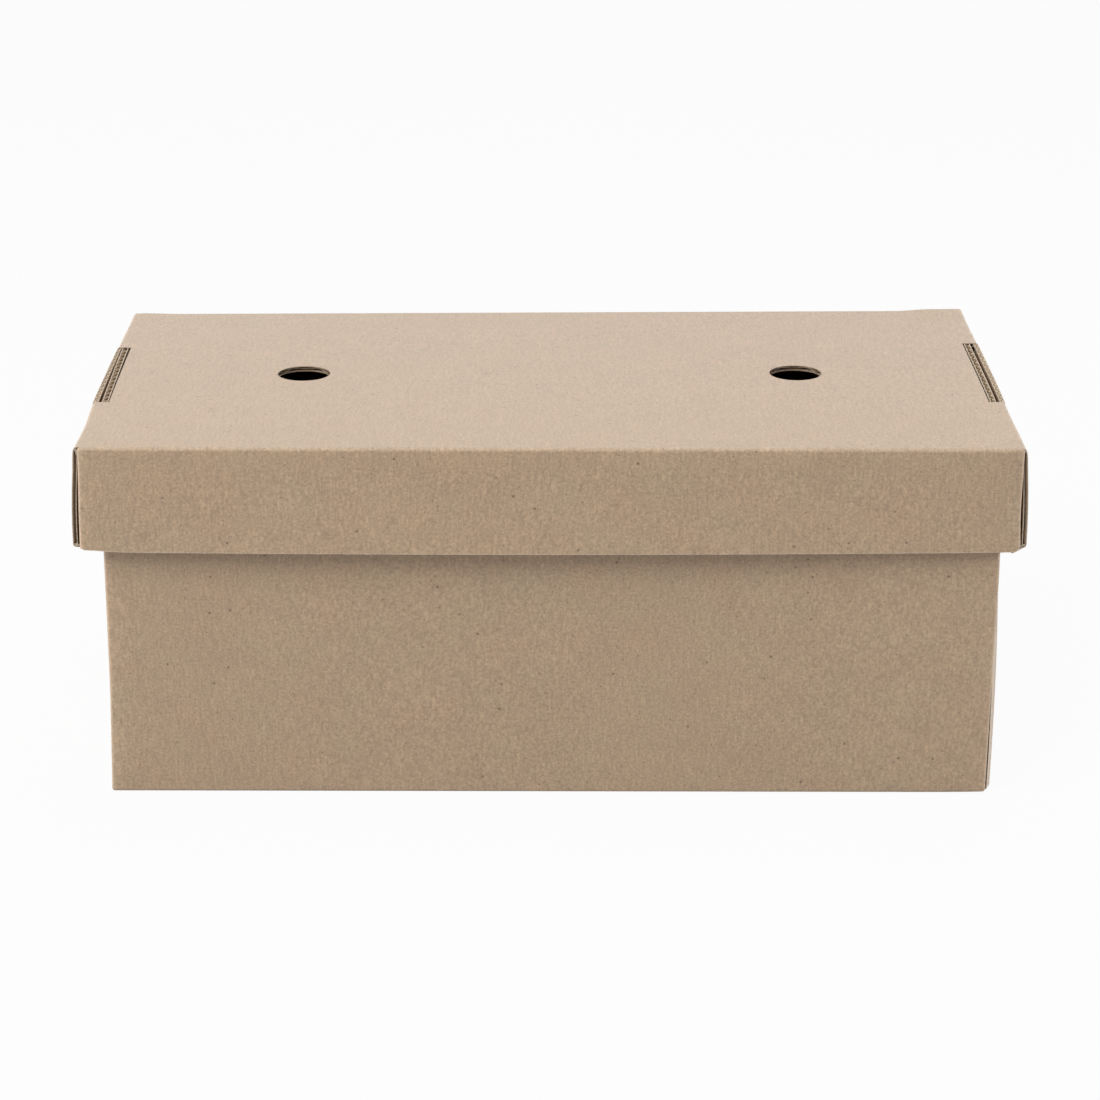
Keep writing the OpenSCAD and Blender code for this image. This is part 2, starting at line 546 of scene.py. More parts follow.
def flute_sheet(cut, along, across, phase):
    """Flat length of fluted paper in X and Y, flutes along X, from one flute that is repeated."""
    board = cut.board
    pitch = board.flute_pitch
    # The crests reach just into the liners
    pressed = 0.00002
    depth = (board.thickness - 2 * board.liner - board.medium) / 2 + pressed
    flute = add_plane("flute", along[1] - along[0], pitch)
    open_edit(flute)
    cut_at(1, spread(-pitch / 2, pitch / 2, 7))
    close_edit()
    for vert in flute.data.vertices:
        vert.co.z = depth * math.sin(2 * math.pi * vert.co.y / pitch + phase)
        vert.co.x += (along[0] + along[1]) / 2
        vert.co.y += across[0] + pitch / 2
    row = flute.modifiers.new("row", "ARRAY")
    row.count = math.ceil((across[1] - across[0]) / pitch - SLACK)
    row.use_relative_offset = False
    row.use_constant_offset = True
    row.constant_offset_displace = (0, pitch, 0)
    row.use_merge_vertices = True
    row.merge_threshold = SLACK
    bpy.ops.object.modifier_apply(modifier=row.name)
    open_edit(flute)
    cut_at(1, [across[1]], clear_outer=True)
    lengths = max(3, round((along[1] - along[0]) / FLUTE_STEP))
    cut_at(0, spread(along[0], along[1], lengths))
    return flute


def press_flutes(obj, cut, outer):
    """Press an end ply's flutes towards its outer liner beside its two creases."""
    close_edit()
    skin = outer * cut.board.thickness / 2
    loss = (1 - cut.board.crushed) / 2
    for vert in obj.data.vertices:
        height, across, level = vert.co
        near = abs(height - cut.roll_start)
        if abs(across) > cut.slot_half:
            near = min(near, abs(height - cut.bend))
        share = 1 - loss * max(0, 1 - near / cut.ease)
        vert.co.z = skin - (skin - level) * share


def lay(obj, cut, turn, place):
    """Turn a fluted sheet into its panel, and give it its thickness."""
    close_edit()
    obj.matrix_world = Matrix.Translation(place) @ turn
    only(obj)
    bpy.ops.object.transform_apply()
    thicken(obj, cut.board.medium, rim=True, offset=0.0)
    return obj


def lint_strip(cut, end, inset, half_y, outer_level, inner_level):
    """Pale torn fibres that choke the flutes just inside the cut edge of a lip or a tab."""
    half_u = cut.board.thickness / 2 - cut.board.liner
    strip = add_plane("lint", 2 * half_u, 2 * half_y)
    open_edit(strip)
    cut_at(1, spread(-half_y, half_y, 15))
    close_edit()
    for vert in strip.data.vertices:
        vert.co.z = outer_level if vert.co.x * end > 0 else inner_level
    pale = strip.data.attributes.new("frayed", "FLOAT", "POINT")
    pale.data.foreach_set("value", [1.0] * len(strip.data.vertices))
    return lay(strip, cut, Matrix.Identity(4), (end * (cut.half_l - inset), 0, 0))


def trim_foot(obj, height, half):
    """Take away the foot of an end ply's flutes on both sides of its lip or tab."""
    for side in (1, -1):
        drop_part(obj, ((-FAR, height), (side * half, side * FAR), (-FAR, FAR)))


def flute_tray(name, cut):
    """Fluted paper between the liners of one tray, panel by panel, clear of the creases."""
    # Depth of the flutes' ends behind the liners' cut edges
    deep = 0.00006
    half_t = cut.board.thickness / 2
    slot_x = cut.half_l - cut.slot_in - deep
    slot_y = cut.slot_half + deep
    clear = cut.bend + cut.ease
    pieces = []
    floor_x = cut.half_l - clear
    floor_y = cut.half_w - clear
    floor = flute_sheet(cut, (-floor_x, floor_x), (-floor_y, floor_y), 0)
    cut_at(0, [-slot_x, slot_x])
    cut_at(1, [-slot_y, slot_y])
    for end in (-1, 1):
        drop_part(floor, ((end * slot_x, end * FAR), (-slot_y, slot_y), (-FAR, FAR)))
    pieces.append(lay(floor, cut, Matrix.Identity(4), (0, 0, half_t)))
    upright = Matrix.Rotation(QUARTER, 4, "X")
    wall_x = cut.wall_end - cut.ease
    for side in (-1, 1):
        wall = flute_sheet(cut, (-wall_x, wall_x), (clear, cut.height - deep), QUARTER)
        pieces.append(lay(wall, cut, upright, (0, side * (cut.half_w - half_t), 0)))
    standing = Matrix(((0, 0, 1, 0), (0, 1, 0, 0), (1, 0, 0, 0), (0, 0, 0, 1)))
    low = cut.set_back + deep
    for end in (-1, 1):
        ply_half = cut.ply_half - deep
        ply = flute_sheet(cut, (low, cut.roll_start - deep), (-ply_half, ply_half), end * QUARTER)
        cut_at(0, [cut.bend + deep, clear, cut.roll_start - cut.ease])
        cut_at(1, [-cut.slot_half, cut.slot_half])
        trim_foot(ply, cut.bend + deep, cut.slot_half)
        press_flutes(ply, cut, end)
        pieces.append(lay(ply, cut, standing, (end * (cut.half_l - half_t), 0, 0)))
        inner_half = cut.inner_half - deep
        tab_half = cut.tab_half - deep
        inner = flute_sheet(cut, (low, cut.inner_start - cut.ease), (-inner_half, inner_half), 0)
        cut_at(0, [cut.foot + deep])
        cut_at(1, [-tab_half, tab_half])
        trim_foot(inner, cut.foot + deep, tab_half)
        pieces.append(lay(inner, cut, standing, (end * (cut.half_l - cut.end_t + half_t), 0, 0)))
        # The lint starts just behind the cut edge and lies deeper towards the inside
        pieces.append(lint_strip(cut, end, half_t, cut.slot_half, low + 0.00015, low + 0.0003))
        pieces.append(lint_strip(cut, end, cut.end_t - half_t, tab_half, low + 0.0003, low + 0.0009))
    only(pieces[0])
    for piece in pieces:
        piece.select_set(True)
    bpy.ops.object.join()
    flutes = bpy.context.object
    flutes.name = name
    flutes.data.name = name
    return flutes


def cut_vents(obj, settings):
    """Cut the two round steam vents through the panel that lies at the bottom of a tray."""
    cutters = []
    for side in (-1, 1):
        select_none()
        place = (side * settings.tray.vent_pitch / 2, 0, 0)
        bpy.ops.mesh.primitive_cylinder_add(
            vertices=96, radius=settings.tray.vent / 2, depth=0.01, location=place
        )
        cutters.append(bpy.context.object)
    only(cutters[0])
    cutters[1].select_set(True)
    bpy.ops.object.join()
    punch = bpy.context.object
    bpy.ops.object.transform_apply()
    only(obj)
    hole = obj.modifiers.new("vents", "BOOLEAN")
    hole.operation = "DIFFERENCE"
    hole.solver = "EXACT"
    hole.object = punch
    bpy.ops.object.modifier_apply(modifier=hole.name)
    bpy.data.objects.remove(punch)


def turn_over(obj, height):
    """Turn a tray upside down into a lid whose top face is at a height."""
    only(obj)
    obj.matrix_world = Matrix.Translation((0, 0, height)) @ Matrix.Rotation(math.pi, 4, "X")
    bpy.ops.object.transform_apply()


def ramp(value, low, high):
    """Smooth step from 0 at the low end to 1 at the high end."""
    share = min(1, max(0, (value - low) / (high - low)))
    return share * share * (3 - 2 * share)


class Spot:
    """A point of a tray in millimetres, u in from an end's outer face and v in from a long wall's."""

    def __init__(self, place, cut):
        half_l = cut.half_l / MM
        half_w = cut.half_w / MM
        end_t = cut.end_t / MM
        self.thick = cut.board.thickness / MM
        self.x, self.y, self.z = (c / MM for c in place)
        self.right = self.x > 0
        self.front = self.y < 0
        self.along = self.x / half_l
        self.across = self.y / half_w
        self.u = half_l - abs(self.x)
        self.v = half_w - abs(self.y)
        self.from_cut = self.v - (cut.half_w - cut.ply_half) / MM
        self.in_outer = self.u < self.thick + HALF_PLAY
        self.in_end = self.u < end_t + HALF_PLAY
        self.in_inner = self.in_end and self.u > end_t - self.thick - HALF_PLAY


def end_shift(spot, cut, rise, plies, fold_out, panel):
    """How far out a point near an end goes, in millimetres.

    rise is its distance from the floor panel's outer face. The plies go out by one amount, the long wall's
    upright fold by another, and the corner flap leads from the fold to the plies.
    """
    u = spot.u
    v = spot.v
    hinge = cut.hinge_in / MM
    bend = cut.bend / MM
    ahead = fold_out - panel
    # The fold's own movement dies away along the wall, and faster across the floor panel
    along_wall = math.exp(-max(0, u - hinge) / 6)
    if rise < spot.thick + HALF_PLAY and v >= bend and u > bend:
        in_tab = spot.in_inner and v > cut.half_w / MM - cut.slot_half / MM
        across_floor = math.exp(-(v - bend) / 3) * ramp(u, bend, hinge)
        return plies if in_tab else panel + ahead * across_floor * along_wall
    if v < spot.thick + 2 * HALF_PLAY and u >= hinge - 2 * HALF_PLAY:
        return panel + ahead * along_wall
    in_roll = rise > cut.roll_start / MM + 0.03 and spot.in_end and v > bend + HALF_PLAY
    if spot.in_outer or spot.in_inner or in_roll:
        return plies
    if not spot.in_end:
        return panel
    lead = 2 * cut.ease / MM if fold_out > plies else cut.flap_reach / MM
    joined = min(1, max(0, (v - bend) / lead))
    return fold_out + (plies - fold_out) * joined


def fold_back(spot, cut):
    """How far a long wall curves back towards an upright fold."""
    if spot.v > WALL_DEEP:
        return 0
    return 0.3 * math.exp(-max(0, spot.u - cut.hinge_in / MM) / 1.8)


def lid_ends(spot, depth, deep):
    """How far out the plies, the upright folds and the panel of an end of the lid go."""
    full_lean = 0.78
    settled = min(1, max(0, deep / full_lean))
    bulge = 1 - (1 - settled) ** 2
    at_edge = math.exp(-spot.u / 8) * (1 - ramp(deep, 0.05, 0.5))
    if spot.right:
        dent = 0.12 + 0.25 * math.exp(-((spot.y + 38) / 16) ** 2)
        panel = -0.8 * spot.along ** 2 - at_edge * dent
        plies = panel + 1.25 * bulge
        fold_out = 0.3 - 0.25 * ramp(deep, 0, 0.55) + 0.35 * ramp(deep, 0.6, 1)
    else:
        dent = 0.2 + 0.6 * math.exp(-((spot.y + 50) / 14) ** 2)
        panel = -at_edge * dent
        plies = panel + 1.05 * (0.5 * bulge + 0.5 * ramp(settled, 0, 1))
        fold_out = 0.35 + 0.5 * ramp(deep, 0, 0.9)
    swell_below_crease = 0.22 * ramp(depth, 0.3, 1.5) * (1 - ramp(depth, 3, 9))
    return plies + swell_below_crease, fold_out, panel


def lid_slot_out(spot, cut, depth):
    """How far out the lip, the tab and the panel beside a slot of the lid have moved."""
    y = spot.y
    slot_in = cut.slot_in / MM
    lip_high = 3
    in_slot = abs(y) < cut.slot_half / MM + 2 * HALF_PLAY
    beside = 1 - ramp(abs(y), cut.slot_half / MM, cut.slot_side / MM)
    out = 0
    if spot.in_outer and in_slot and depth < lip_high:
        lip_tilt = 0.1 if spot.right else 0.165 + 0.0059 * y
        out += spot.u * lip_tilt * (1 - depth / lip_high)
    if spot.in_inner and (in_slot or depth > spot.thick + HALF_PLAY) and spot.v > WALL_DEEP:
        pushed = 0.6 if spot.right else 1.1 + 0.0185 * y
        out += pushed * beside * math.exp(-depth / 10)
        tab_middle = (cut.end_t - cut.board.thickness / 2) / MM
        out += 0.2 * (tab_middle - spot.u) * (1 - ramp(depth, 0, lip_high))
    if spot.u > slot_in - 2 * HALF_PLAY and depth < spot.thick + 2 * HALF_PLAY:
        drawn = 0.4 if spot.right else 0.8 + 0.011 * y
        out += drawn * beside * (1 - ramp(spot.u, slot_in, cut.slot_rest / MM))
    return out


def lid_slot_longer(spot, cut, depth):
    """How much farther back the lid's right slot reaches than its left one."""
    longer = 2.4
    rest = cut.slot_rest / MM + 0.1
    if not spot.right or spot.u > rest or depth > 3:
        return 0
    lengthways = ramp(spot.y, 5, 28) * (1 - ramp(spot.y, 29, 62))
    return longer * lengthways * (1 - ramp(spot.u, cut.slot_in / MM, rest))


def lid_crown(spot, deep):
    """How far the whole lid has risen at a point: crowned, tilted, twisted and up at its back corners."""
    crown = 0.65 * (1 - spot.across ** 2) * (1 - 0.6 * deep)
    tilt = 0.11 + 0.24 * spot.along - 0.31 * spot.across
    twist = 0.4 * spot.along * spot.across
    corners = 0.55 * ramp(spot.along, 0.84, 0.92) + 0.2 * ramp(-spot.along, 0.88, 0.96)
    return crown + tilt + twist + corners * ramp(spot.across, 0.8, 0.97)


def lid_wall(spot, cut, depth, deep):
    """How far inwards and upwards a point of the lid's long walls has moved."""
    bow = 2.0 if spot.front else 1.2
    reach_x = min(1, abs(spot.x) / (cut.wall_end / MM))
    inward = -bow * (1 - reach_x ** 2) * max(0, deep) ** 1.5
    soft_crease = 0.36 * math.exp(-max(0, depth) / 2.0) * ramp(spot.u, 2.5, 9)
    inward += soft_crease + fold_back(spot, cut)
    if spot.front and spot.right:
        corner = 1.2 * max(0, 1 - max(0, spot.u - 1.6) / 1.1)
    else:
        corner = 0.45 * (1 - ramp(spot.u, 3, 14))
    ragged = 0.09 * noise.noise((spot.x / 1.1, spot.y, 0)) * ramp(deep, 0.98, 1)
    rise = corner * ramp(deep, 0.88, 1) + ragged - (0.14 - 0.16 * spot.along) * deep
    return inward, rise


def lid_roll(spot, deep):
    """How far an end wall of the lid has risen: it hangs lower, with its rolled edge tipped."""
    u = spot.u
    if spot.right:
        tipped = 0.95 * max(0, 1 - u / 2) + 0.15 * ramp(u, 1.5, 2.5) + 0.4 * ramp(u, 3, 4.2)
    else:
        tipped = 0.6 - 0.6 * ramp(u, 0, 1.5) + 1.3 * ramp(u, 1.6, 3.6)
    drop = (1.15 - 0.35 * spot.across) * ramp(deep, 0.2, 0.95)
    return tipped * ramp(deep, 0.8, 0.96) - drop


def settle_lid(place, cut):
    """Where a point of the true lid sits on the handled one, which has crowned, leaned and bowed."""
    spot = Spot(place, cut)
    # Distance below the top face, also as a share of the lid's height
    depth = LID_HIGH.z / MM - spot.z
    deep = depth / (cut.height / MM)
    out = end_shift(spot, cut, depth, *lid_ends(spot, depth, deep))
    if spot.in_outer:
        out += 0.22 * spot.u / spot.thick * max(0, 1 - spot.from_cut / CRUSH_REACH)
    out += lid_slot_out(spot, cut, depth)
    if spot.in_inner and depth > spot.thick + HALF_PLAY:
        # The inner ply stays clear of the base
        out = max(out, -0.2)
    inward = 0
    rise = lid_crown(spot, deep)
    if spot.v < WALL_DEEP and not spot.in_outer:
        inward, lift = lid_wall(spot, cut, depth, deep)
        rise += lift
    elif spot.in_end:
        rise += lid_roll(spot, deep)
    x = spot.x + (out if spot.right else -out)
    y = spot.y + lid_slot_longer(spot, cut, depth) + (inward if spot.front else -inward)
    return Vector((x, y, spot.z + rise)) * MM


def base_ends(spot):
    """How far out the plies and the upright folds of an end of the base go."""
    z = spot.z
    if spot.right:
        bulge_top = 62
        plies = 0.8 - 0.0065 * z + 0.55 * math.sin(math.pi * min(z, bulge_top) / bulge_top)
        plies -= 0.22 * (1 - ramp(z, bulge_top, 72)) + 0.37 * (1 - ramp(z, 1.2, 26))
        fold_out = min(1.05, 0.25 + 0.0118 * z + 0.1 * ramp(z, 45, 60))
    else:
        plies = -0.0127 * z
        fold_out = 1.41 - 0.74 * min(1, z / 31)
    return plies, fold_out


def settle_base(place, cut):
    """Where a point of the true base sits on the handled one, with leaning ends and spread folds."""
    spot = Spot(place, cut)
    z = spot.z
    out = end_shift(spot, cut, z, *base_ends(spot), 0)
    outwards = fold_back(spot, cut) * -ramp(z, 0, 3)
    if spot.u < spot.thick:
        # The outer ply's cut edge is crushed, and reaches farther towards its foot
        out -= 1.25 * (1 - spot.u / spot.thick) * max(0, 1 - spot.from_cut / CRUSH_REACH)
        if spot.from_cut > -2 * HALF_PLAY:
            outwards += 4 * ramp(z, 0, 0.6) * (1 - ramp(z, 0.6, 26)) * ramp(14 - spot.v, 0, 9)
    x = spot.x + (out if spot.right else -out)
    y = spot.y + (-outwards if spot.front else outwards)
    if spot.right and spot.front:
        worn_corner = 0.3 * math.exp(-(max(0, spot.u) + spot.v) / 6) * (1 - ramp(z, 0, 5))
        z += worn_corner
    lowered_rim = 0.9 * ramp(z, 86, 97)
    turn = Matrix.Rotation(math.radians(-0.3), 3, "Z")
    moved = Vector((0.36, 0.5, 0))
    return (turn @ Vector((x, y, z - lowered_rim)) + moved) * MM


def settle(obj, cut, rule):
    """Move every point of a piece by a rule."""
    for vert in obj.data.vertices:
        vert.co = rule(vert.co, cut)


def finish_paper(obj, materials, degrees):
    """Put the papers' materials in a piece's slots, and smooth its creases."""
    slots = obj.data.materials
    for i, material in enumerate(materials):
        if i < len(slots):
            slots[i] = material
        else:
            slots.append(material)
    only(obj)
    bpy.ops.object.shade_smooth_by_angle(angle=math.radians(degrees))


def bare_tree(owner):
    """Node tree of a material or a world, without any nodes."""
    owner.use_nodes = True
    owner.node_tree.nodes.clear()
    return owner.node_tree


def feed(tree, socket, value):
    """Link a socket to another one, or give it a plain value."""
    if isinstance(value, bpy.types.NodeSocket):
        tree.links.new(value, socket)
    else:
        socket.default_value = value


def add_node(tree, kind, **values):
    """A node with its properties set and its sockets fed."""
    node = tree.nodes.new(kind)
    for key, value in values.items():
        if key in node.inputs:
            feed(tree, node.inputs[key], value)
        else:
            setattr(node, key, value)
    return node


def add_noise(tree, vector, scale, detail):
    """Cloudy noise on a vector."""
    cloud = add_node(tree, "ShaderNodeTexNoise", Vector=vector, Scale=scale, Detail=detail, Roughness=0.6)
    return cloud.outputs["Fac"]


def add_range(tree, value, low, high, to_low, to_high):
    """A value carried from one range into another, and kept in it."""
    ends = {"From Min": low, "From Max": high, "To Min": to_low, "To Max": to_high}
    return add_node(tree, "ShaderNodeMapRange", Value=value, **ends).outputs["Result"]


def add_math(tree, operation, first, second):
    """An operation on two values, either of which may be a plain number."""
    node = add_node(tree, "ShaderNodeMath", operation=operation)
    feed(tree, node.inputs[0], first)
    feed(tree, node.inputs[1], second)
    return node.outputs["Value"]


def add_specks(tree, vector, scale, radius, share):
    """Small dots in some of the cells of a scatter."""
    cell = add_node(tree, "ShaderNodeTexVoronoi", Vector=vector, Scale=scale, Randomness=1.0)
    dot = add_range(tree, cell.outputs["Distance"], radius, radius * 0.6, 0, 1)
    chosen = add_node(tree, "ShaderNodeSeparateColor", Color=cell.outputs["Color"])
    few = add_math(tree, "LESS_THAN", chosen.outputs["Red"], share)
    return add_math(tree, "MULTIPLY", dot, few)


def grain_vector(tree):
    """Place on the board, stretched so that noise on it makes streaks along the paper's fibres."""
    place = add_node(tree, "ShaderNodeTexCoord").outputs["Object"]
    parts = add_node(tree, "ShaderNodeSeparateXYZ", Vector=place).outputs
    turned = add_node(tree, "ShaderNodeCombineXYZ", X=parts["Y"], Y=parts["X"], Z=parts["Z"])
    facing = add_node(tree, "ShaderNodeNewGeometry").outputs["True Normal"]
    lean = add_node(tree, "ShaderNodeSeparateXYZ", Vector=facing)
    # On the end walls Y takes the place of X, so that the streaks stand upright there too
    mostly = 0.7
    sideways = add_math(tree, "GREATER_THAN", add_math(tree, "ABSOLUTE", lean.outputs["X"], 0), mostly)
    chosen = add_node(tree, "ShaderNodeMix", data_type="VECTOR")
    tree.links.new(sideways, chosen.inputs["Factor"])
    tree.links.new(place, chosen.inputs["A"])
    tree.links.new(turned.outputs["Vector"], chosen.inputs["B"])
    scale = (1.0, FIBRE_STRETCH, FIBRE_STRETCH)
    stretched = add_node(tree, "ShaderNodeMapping", Vector=chosen.outputs["Result"], Scale=scale)
    return place, stretched.outputs["Vector"]


def kraft_group():
    """Shared look of brown paper: cloud, grain, streaks, tint, specks, light fibres and height."""
    if "kraft paper" in bpy.data.node_groups:
        return bpy.data.node_groups["kraft paper"]
    tree = bpy.data.node_groups.new("kraft paper", "ShaderNodeTree")
    place, along = grain_vector(tree)
    grain = add_noise(tree, place, scale=1500, detail=2)
    streak = add_noise(tree, along, scale=1500, detail=2)
    fibre = add_noise(tree, along, scale=3400, detail=1)
    small = add_specks(tree, place, scale=520, radius=0.13, share=0.5)
    large = add_specks(tree, place, scale=190, radius=0.095, share=0.6)
    # Only the crests of the finest noise show, as light fibres
    values = {
        "Cloud": add_noise(tree, place, scale=80, detail=4),
        "Grain": grain,
        "Streak": streak,
        "Tint": add_noise(tree, place, scale=60, detail=3),
        "Speck": add_math(tree, "MAXIMUM", small, large),
        "Hair": add_range(tree, fibre, 0.66, 0.74, 0, 1),
        "Height": add_math(tree, "ADD", grain, streak),
    }
    out = add_node(tree, "NodeGroupOutput")
    for name, value in values.items():
        tree.interface.new_socket(name, in_out="OUTPUT", socket_type="NodeSocketFloat")
        tree.links.new(value, out.inputs[name])
    return tree


def add_mix(tree, factor, first, second):
    """A blend of two colours, either of which may be a plain colour."""
    node = add_node(tree, "ShaderNodeMix", data_type="RGBA")
    tree.links.new(factor, node.inputs["Factor"])
    for name, value in (("A", first), ("B", second)):
        socket = [s for s in node.inputs if s.name == name and s.type == "RGBA"][0]
        if isinstance(value, bpy.types.NodeSocket):
            tree.links.new(value, socket)
        else:
            socket.default_value = (*value, 1)
    return [s for s in node.outputs if s.type == "RGBA"][0]


def paper_material(name, paper, colour, shares, finish):
    """Brown paper of one colour, with the shared look of kraft, creases paled partly by wear and partly as
    a painted highlight, and frayed cut edges.
    """
    material = bpy.data.materials.new(name)
    tree = bare_tree(material)
    shader = add_node(tree, "ShaderNodeBsdfPrincipled", **finish)
    add_node(tree, "ShaderNodeOutputMaterial", Surface=shader.outputs["BSDF"])
    look = add_node(tree, "ShaderNodeGroup", node_tree=kraft_group()).outputs
    shade = 1.0
    for socket, share in shares.items():
        level = add_range(tree, look[socket], NOISE_LOW, NOISE_HIGH, 1 - share, 1 + share)
        shade = add_math(tree, "MULTIPLY", shade, level)
    tint = add_range(tree, look["Tint"], 0.3, 0.7, 0, 1)
    red, green, blue = colour
    warm = (red * 1.015, green * 0.985, blue * 0.985)
    cool = (red * 0.985, green * 1.012, blue * 1.01)
    toned = add_mix(tree, tint, warm, cool)
    shaded = add_node(tree, "ShaderNodeVectorMath", operation="SCALE")
    tree.links.new(toned, shaded.inputs[0])
    tree.links.new(shade, shaded.inputs["Scale"])
    hair = add_math(tree, "MULTIPLY", look["Hair"], HAIR_SHARE)
    haired = add_mix(tree, hair, shaded.outputs["Vector"], paper.pale_wear_and_highlight)
    creased = add_node(tree, "ShaderNodeAttribute", attribute_name="creased").outputs["Fac"]
    frayed = add_node(tree, "ShaderNodeAttribute", attribute_name="frayed").outputs["Fac"]
    # Creases are paled a little, partly as wear and partly as a painted highlight; frayed cut edges are
    # paled as wear
    rubbed_and_highlit = add_math(tree, "MAXIMUM", add_math(tree, "MULTIPLY", creased, CREASE_WEAR_AND_HIGHLIGHT_SHARE), frayed)
    patchy = add_math(tree, "MULTIPLY", rubbed_and_highlit, add_range(tree, look["Grain"], 0.35, 0.6, 0.3, 0.9))
    pale_wear_and_highlight = add_mix(tree, patchy, haired, paper.pale_wear_and_highlight)
    specked = add_mix(tree, add_math(tree, "MULTIPLY", look["Speck"], SPECK_SHARE), pale_wear_and_highlight, paper.speck)
    tree.links.new(specked, shader.inputs["Base Color"])
    matt = add_range(tree, creased, 0, 1, finish["Roughness"], CREASE_ROUGHNESS)
    tree.links.new(matt, shader.inputs["Roughness"])
    bumps = add_node(tree, "ShaderNodeBump", Height=look["Height"], Strength=0.3, Distance=0.00012)
    tree.links.new(bumps.outputs["Normal"], shader.inputs["Normal"])
    return material


def box_papers(paper):
    """The papers: flat liner, cut edge, liner between the plies and fluted medium."""
    names = ("kraft_liner", "cut_edge", "hidden_liner", "fluted_medium")
    if all(name in bpy.data.materials for name in names):
        return [bpy.data.materials[name] for name in names]
    smooth = {"Roughness": 0.5, "Specular IOR Level": 0.55, "Sheen Weight": 0.4}
    rough = {"Roughness": 0.9, "Specular IOR Level": 0.0}
    fine = {"Cloud": 0.04, "Grain": 0.26, "Streak": 0.12}
    coarse = {"Cloud": 0.06, "Grain": 0.18, "Streak": 0.1}
    return [
        paper_material(names[0], paper, paper.liner, fine, smooth),
        paper_material(names[1], paper, paper.cut, coarse, rough),
        paper_material(names[2], paper, paper.liner, fine, rough),
        paper_material(names[3], paper, paper.medium, coarse, rough),
    ]


def tray_pieces(name, cut, paper):
    """The liners and the flutes of one tray, in their papers."""
    liners = fold_tray(f"{name}_liners", cut)
    flutes = flute_tray(f"{name}_flutes", cut)
    *skins, medium = box_papers(paper)
    finish_paper(liners, skins, degrees=32)
    finish_paper(flutes, [medium], degrees=60)
    return liners, flutes


class TAKEAWAY_OT_base(bpy.types.Operator):
    """Fold the base: a deep tray with rolled ends"""

    bl_idname = "takeaway.base"
    bl_label = "Base"

    def execute(self, context):
        settings = context.scene.takeaway_box
        tray = settings.tray
        cut = TrayCut(settings, BASE_SIZE, tray.base_inset, tray.base_drop, roll_turn=QUARTER, columns=59)
        liners, flutes = tray_pieces("base", cut, settings.paper)
        for piece in (liners, flutes):
            settle(piece, cut, settle_base)
            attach(piece, "base")
        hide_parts("base")
        return {"FINISHED"}


class TAKEAWAY_OT_lid(bpy.types.Operator):
    """Fold the lid: a shallow tray turned over, with two steam vents"""

    bl_idname = "takeaway.lid"
    bl_label = "Lid"

    def execute(self, context):
        settings = context.scene.takeaway_box
        tray = settings.tray
        slanted = math.radians(60)
        cut = TrayCut(settings, LID_SIZE, tray.lid_inset, tray.lid_drop, roll_turn=slanted, columns=129)
        liners, flutes = tray_pieces("lid", cut, settings.paper)
        for piece in (liners, flutes):
            cut_vents(piece, settings)
            turn_over(piece, LID_HIGH.z)
            settle(piece, cut, settle_lid)
            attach(piece, "lid")
        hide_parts("lid")
        return {"FINISHED"}


class TAKEAWAY_OT_stage(bpy.types.Operator):
    """Set up the pale floor, the soft light and the camera"""

    bl_idname = "takeaway.stage"
    bl_label = "Stage"

    def execute(self, context):
        stage = context.scene.takeaway_box.stage
        context.scene.view_settings.view_transform = "Standard"
        add_camera(context, stage)
        add_floor(stage)
        add_world(context)
        add_lamps()
        return {"FINISHED"}


def add_camera(context, stage):
    """Camera at the photograph's viewing angle."""
    pitch, yaw, roll = stage.pitch, stage.yaw, stage.roll
    forward = Vector((-math.sin(yaw) * math.cos(pitch), math.cos(yaw) * math.cos(pitch), -math.sin(pitch)))
    right = Vector((math.cos(yaw), math.sin(yaw), 0))
    up = right.cross(forward)
    right, up = (
        math.cos(roll) * right + math.sin(roll) * up,
        math.cos(roll) * up - math.sin(roll) * right,
    )
    lens = bpy.data.cameras.new("camera")
    lens.lens = stage.lens
    lens.sensor_width = 36
    lens.clip_start = 0.01
    camera = bpy.data.objects.new("camera", lens)
    context.scene.collection.objects.link(camera)
    turn = Matrix((right, up, -forward)).transposed().to_4x4()
    camera.matrix_world = Matrix.Translation(stage.place) @ turn
    context.scene.camera = camera


def add_floor(stage):
    """Pale floor that shows white and keeps the box's shadow."""
    just_below = -0.0002
    floor = add_plane("floor", 8, 8)
    floor.data.transform(Matrix.Translation((0, 0, just_below)))
    material = bpy.data.materials.new("pale_floor")
    tree = bare_tree(material)
    matt = add_node(tree, "ShaderNodeBsdfDiffuse", Color=(*stage.floor, 1))
    white = add_node(tree, "ShaderNodeEmission", Color=(1, 1, 1, 1), Strength=1.0)
    shown = add_math(tree, "MULTIPLY", seen_rays(tree), WHITE_SHARE)
    add_blend(tree, shown, matt, white, "ShaderNodeOutputMaterial")
    floor.data.materials.append(material)


def seen_rays(tree):
    """Whether a ray comes from the camera, a reflection or a transmission."""
    rays = add_node(tree, "ShaderNodeLightPath").outputs
    seen = rays["Is Camera Ray"]
    for name in ("Is Glossy Ray", "Is Transmission Ray"):
        seen = add_math(tree, "MAXIMUM", seen, rays[name])
    return seen


def add_blend(tree, factor, first, second, output):
    """Show a first shader, or a second one by a factor, on an output node."""
    blend = add_node(tree, "ShaderNodeMixShader", Fac=factor)
    tree.links.new(first.outputs[0], blend.inputs[1])
    tree.links.new(second.outputs[0], blend.inputs[2])
    add_node(tree, output, Surface=blend.outputs["Shader"])


def add_world(context):
    """White surroundings, with a plain level of light from all round."""
    world = bpy.data.worlds.new("studio")
    context.scene.world = world
    tree = bare_tree(world)
    light = add_node(tree, "ShaderNodeBackground", Color=(1, 1, 1, 1), Strength=WORLD_LIGHT)
    white = add_node(tree, "ShaderNodeBackground", Color=(1, 1, 1, 1), Strength=1.0)
    add_blend(tree, seen_rays(tree), light, white, "ShaderNodeOutputWorld")


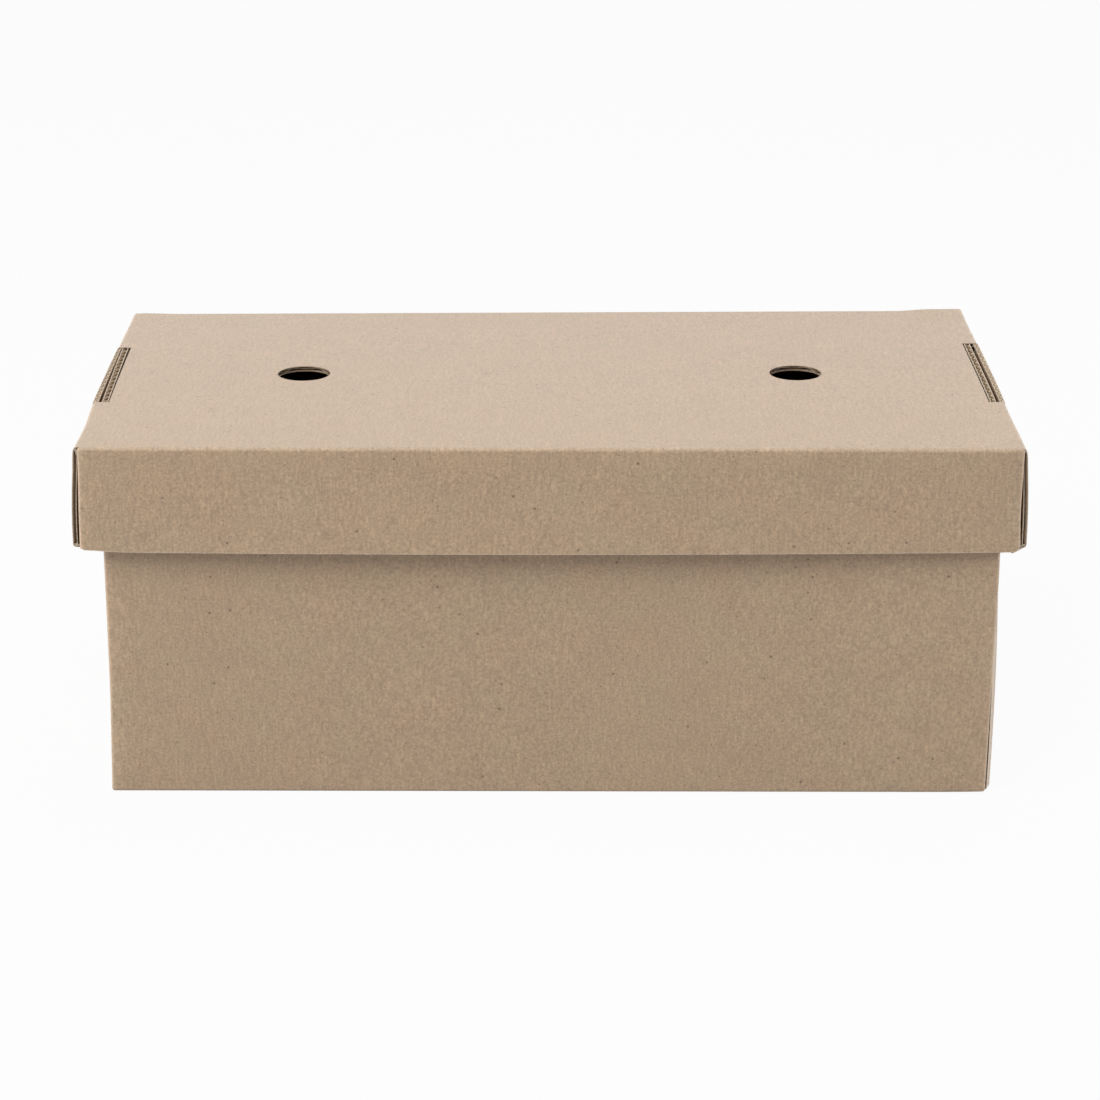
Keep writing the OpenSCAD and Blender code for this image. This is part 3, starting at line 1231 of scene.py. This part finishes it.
def add_lamp(name, energy, size, place, aim):
    """Square soft lamp that faces a point."""
    data = bpy.data.lights.new(name, "AREA")
    data.energy = energy
    data.shape = "SQUARE"
    data.size = size
    lamp = bpy.data.objects.new(name, data)
    lamp.visible_camera = False
    bpy.context.scene.collection.objects.link(lamp)
    look = (Vector(aim) - Vector(place)).to_track_quat("-Z", "Y")
    lamp.matrix_world = Matrix.Translation(place) @ look.to_matrix().to_4x4()


def add_lamps():
    """Soft light from the front on the left, and weaker ones from above and from both sides."""
    middle = (0, 0, 0.05)
    add_lamp("key_softbox", energy=50, size=1.7, place=(-1.05, -1.25, 1.95), aim=middle)
    add_lamp("top_softbox", energy=7.4, size=0.8, place=(0.1, 0.3, 1.3), aim=middle)
    for name, side in (("left_softbox", -1), ("right_softbox", 1)):
        add_lamp(name, energy=3.2, size=0.25, place=(side * 0.8, -0.12, 0.13), aim=middle)


class TAKEAWAY_PT_sidebar(bpy.types.Panel):
    """Sidebar panel with the steps that make the box"""

    bl_idname = "TAKEAWAY_PT_sidebar"
    bl_label = "Takeaway box"
    bl_space_type = "VIEW_3D"
    bl_region_type = "UI"
    bl_category = "Takeaway box"

    def draw(self, context):
        settings = context.scene.takeaway_box
        for group in (settings.board, settings.tray, settings.paper, settings.stage):
            for key in group.__annotations__:
                self.layout.prop(group, key)
        for step in STEPS:
            self.layout.operator(step.bl_idname)


STEPS = (TAKEAWAY_OT_base, TAKEAWAY_OT_lid, TAKEAWAY_OT_stage)
CLASSES = (BoardProps, TrayProps, PaperProps, StageProps, BoxProps, *STEPS, TAKEAWAY_PT_sidebar)


def register():
    """Add the box's classes to Blender."""
    for item in CLASSES:
        bpy.utils.register_class(item)
    bpy.types.Scene.takeaway_box = bpy.props.PointerProperty(type=BoxProps)


def unregister():
    """Take the box's classes out of Blender again."""
    del bpy.types.Scene.takeaway_box
    for item in reversed(CLASSES):
        bpy.utils.unregister_class(item)


def main():
    """Build the box and its stage."""
    register()
    bpy.ops.takeaway.stage()
    bpy.ops.takeaway.base()
    bpy.ops.takeaway.lid()


if __name__ == "__main__":
    main()
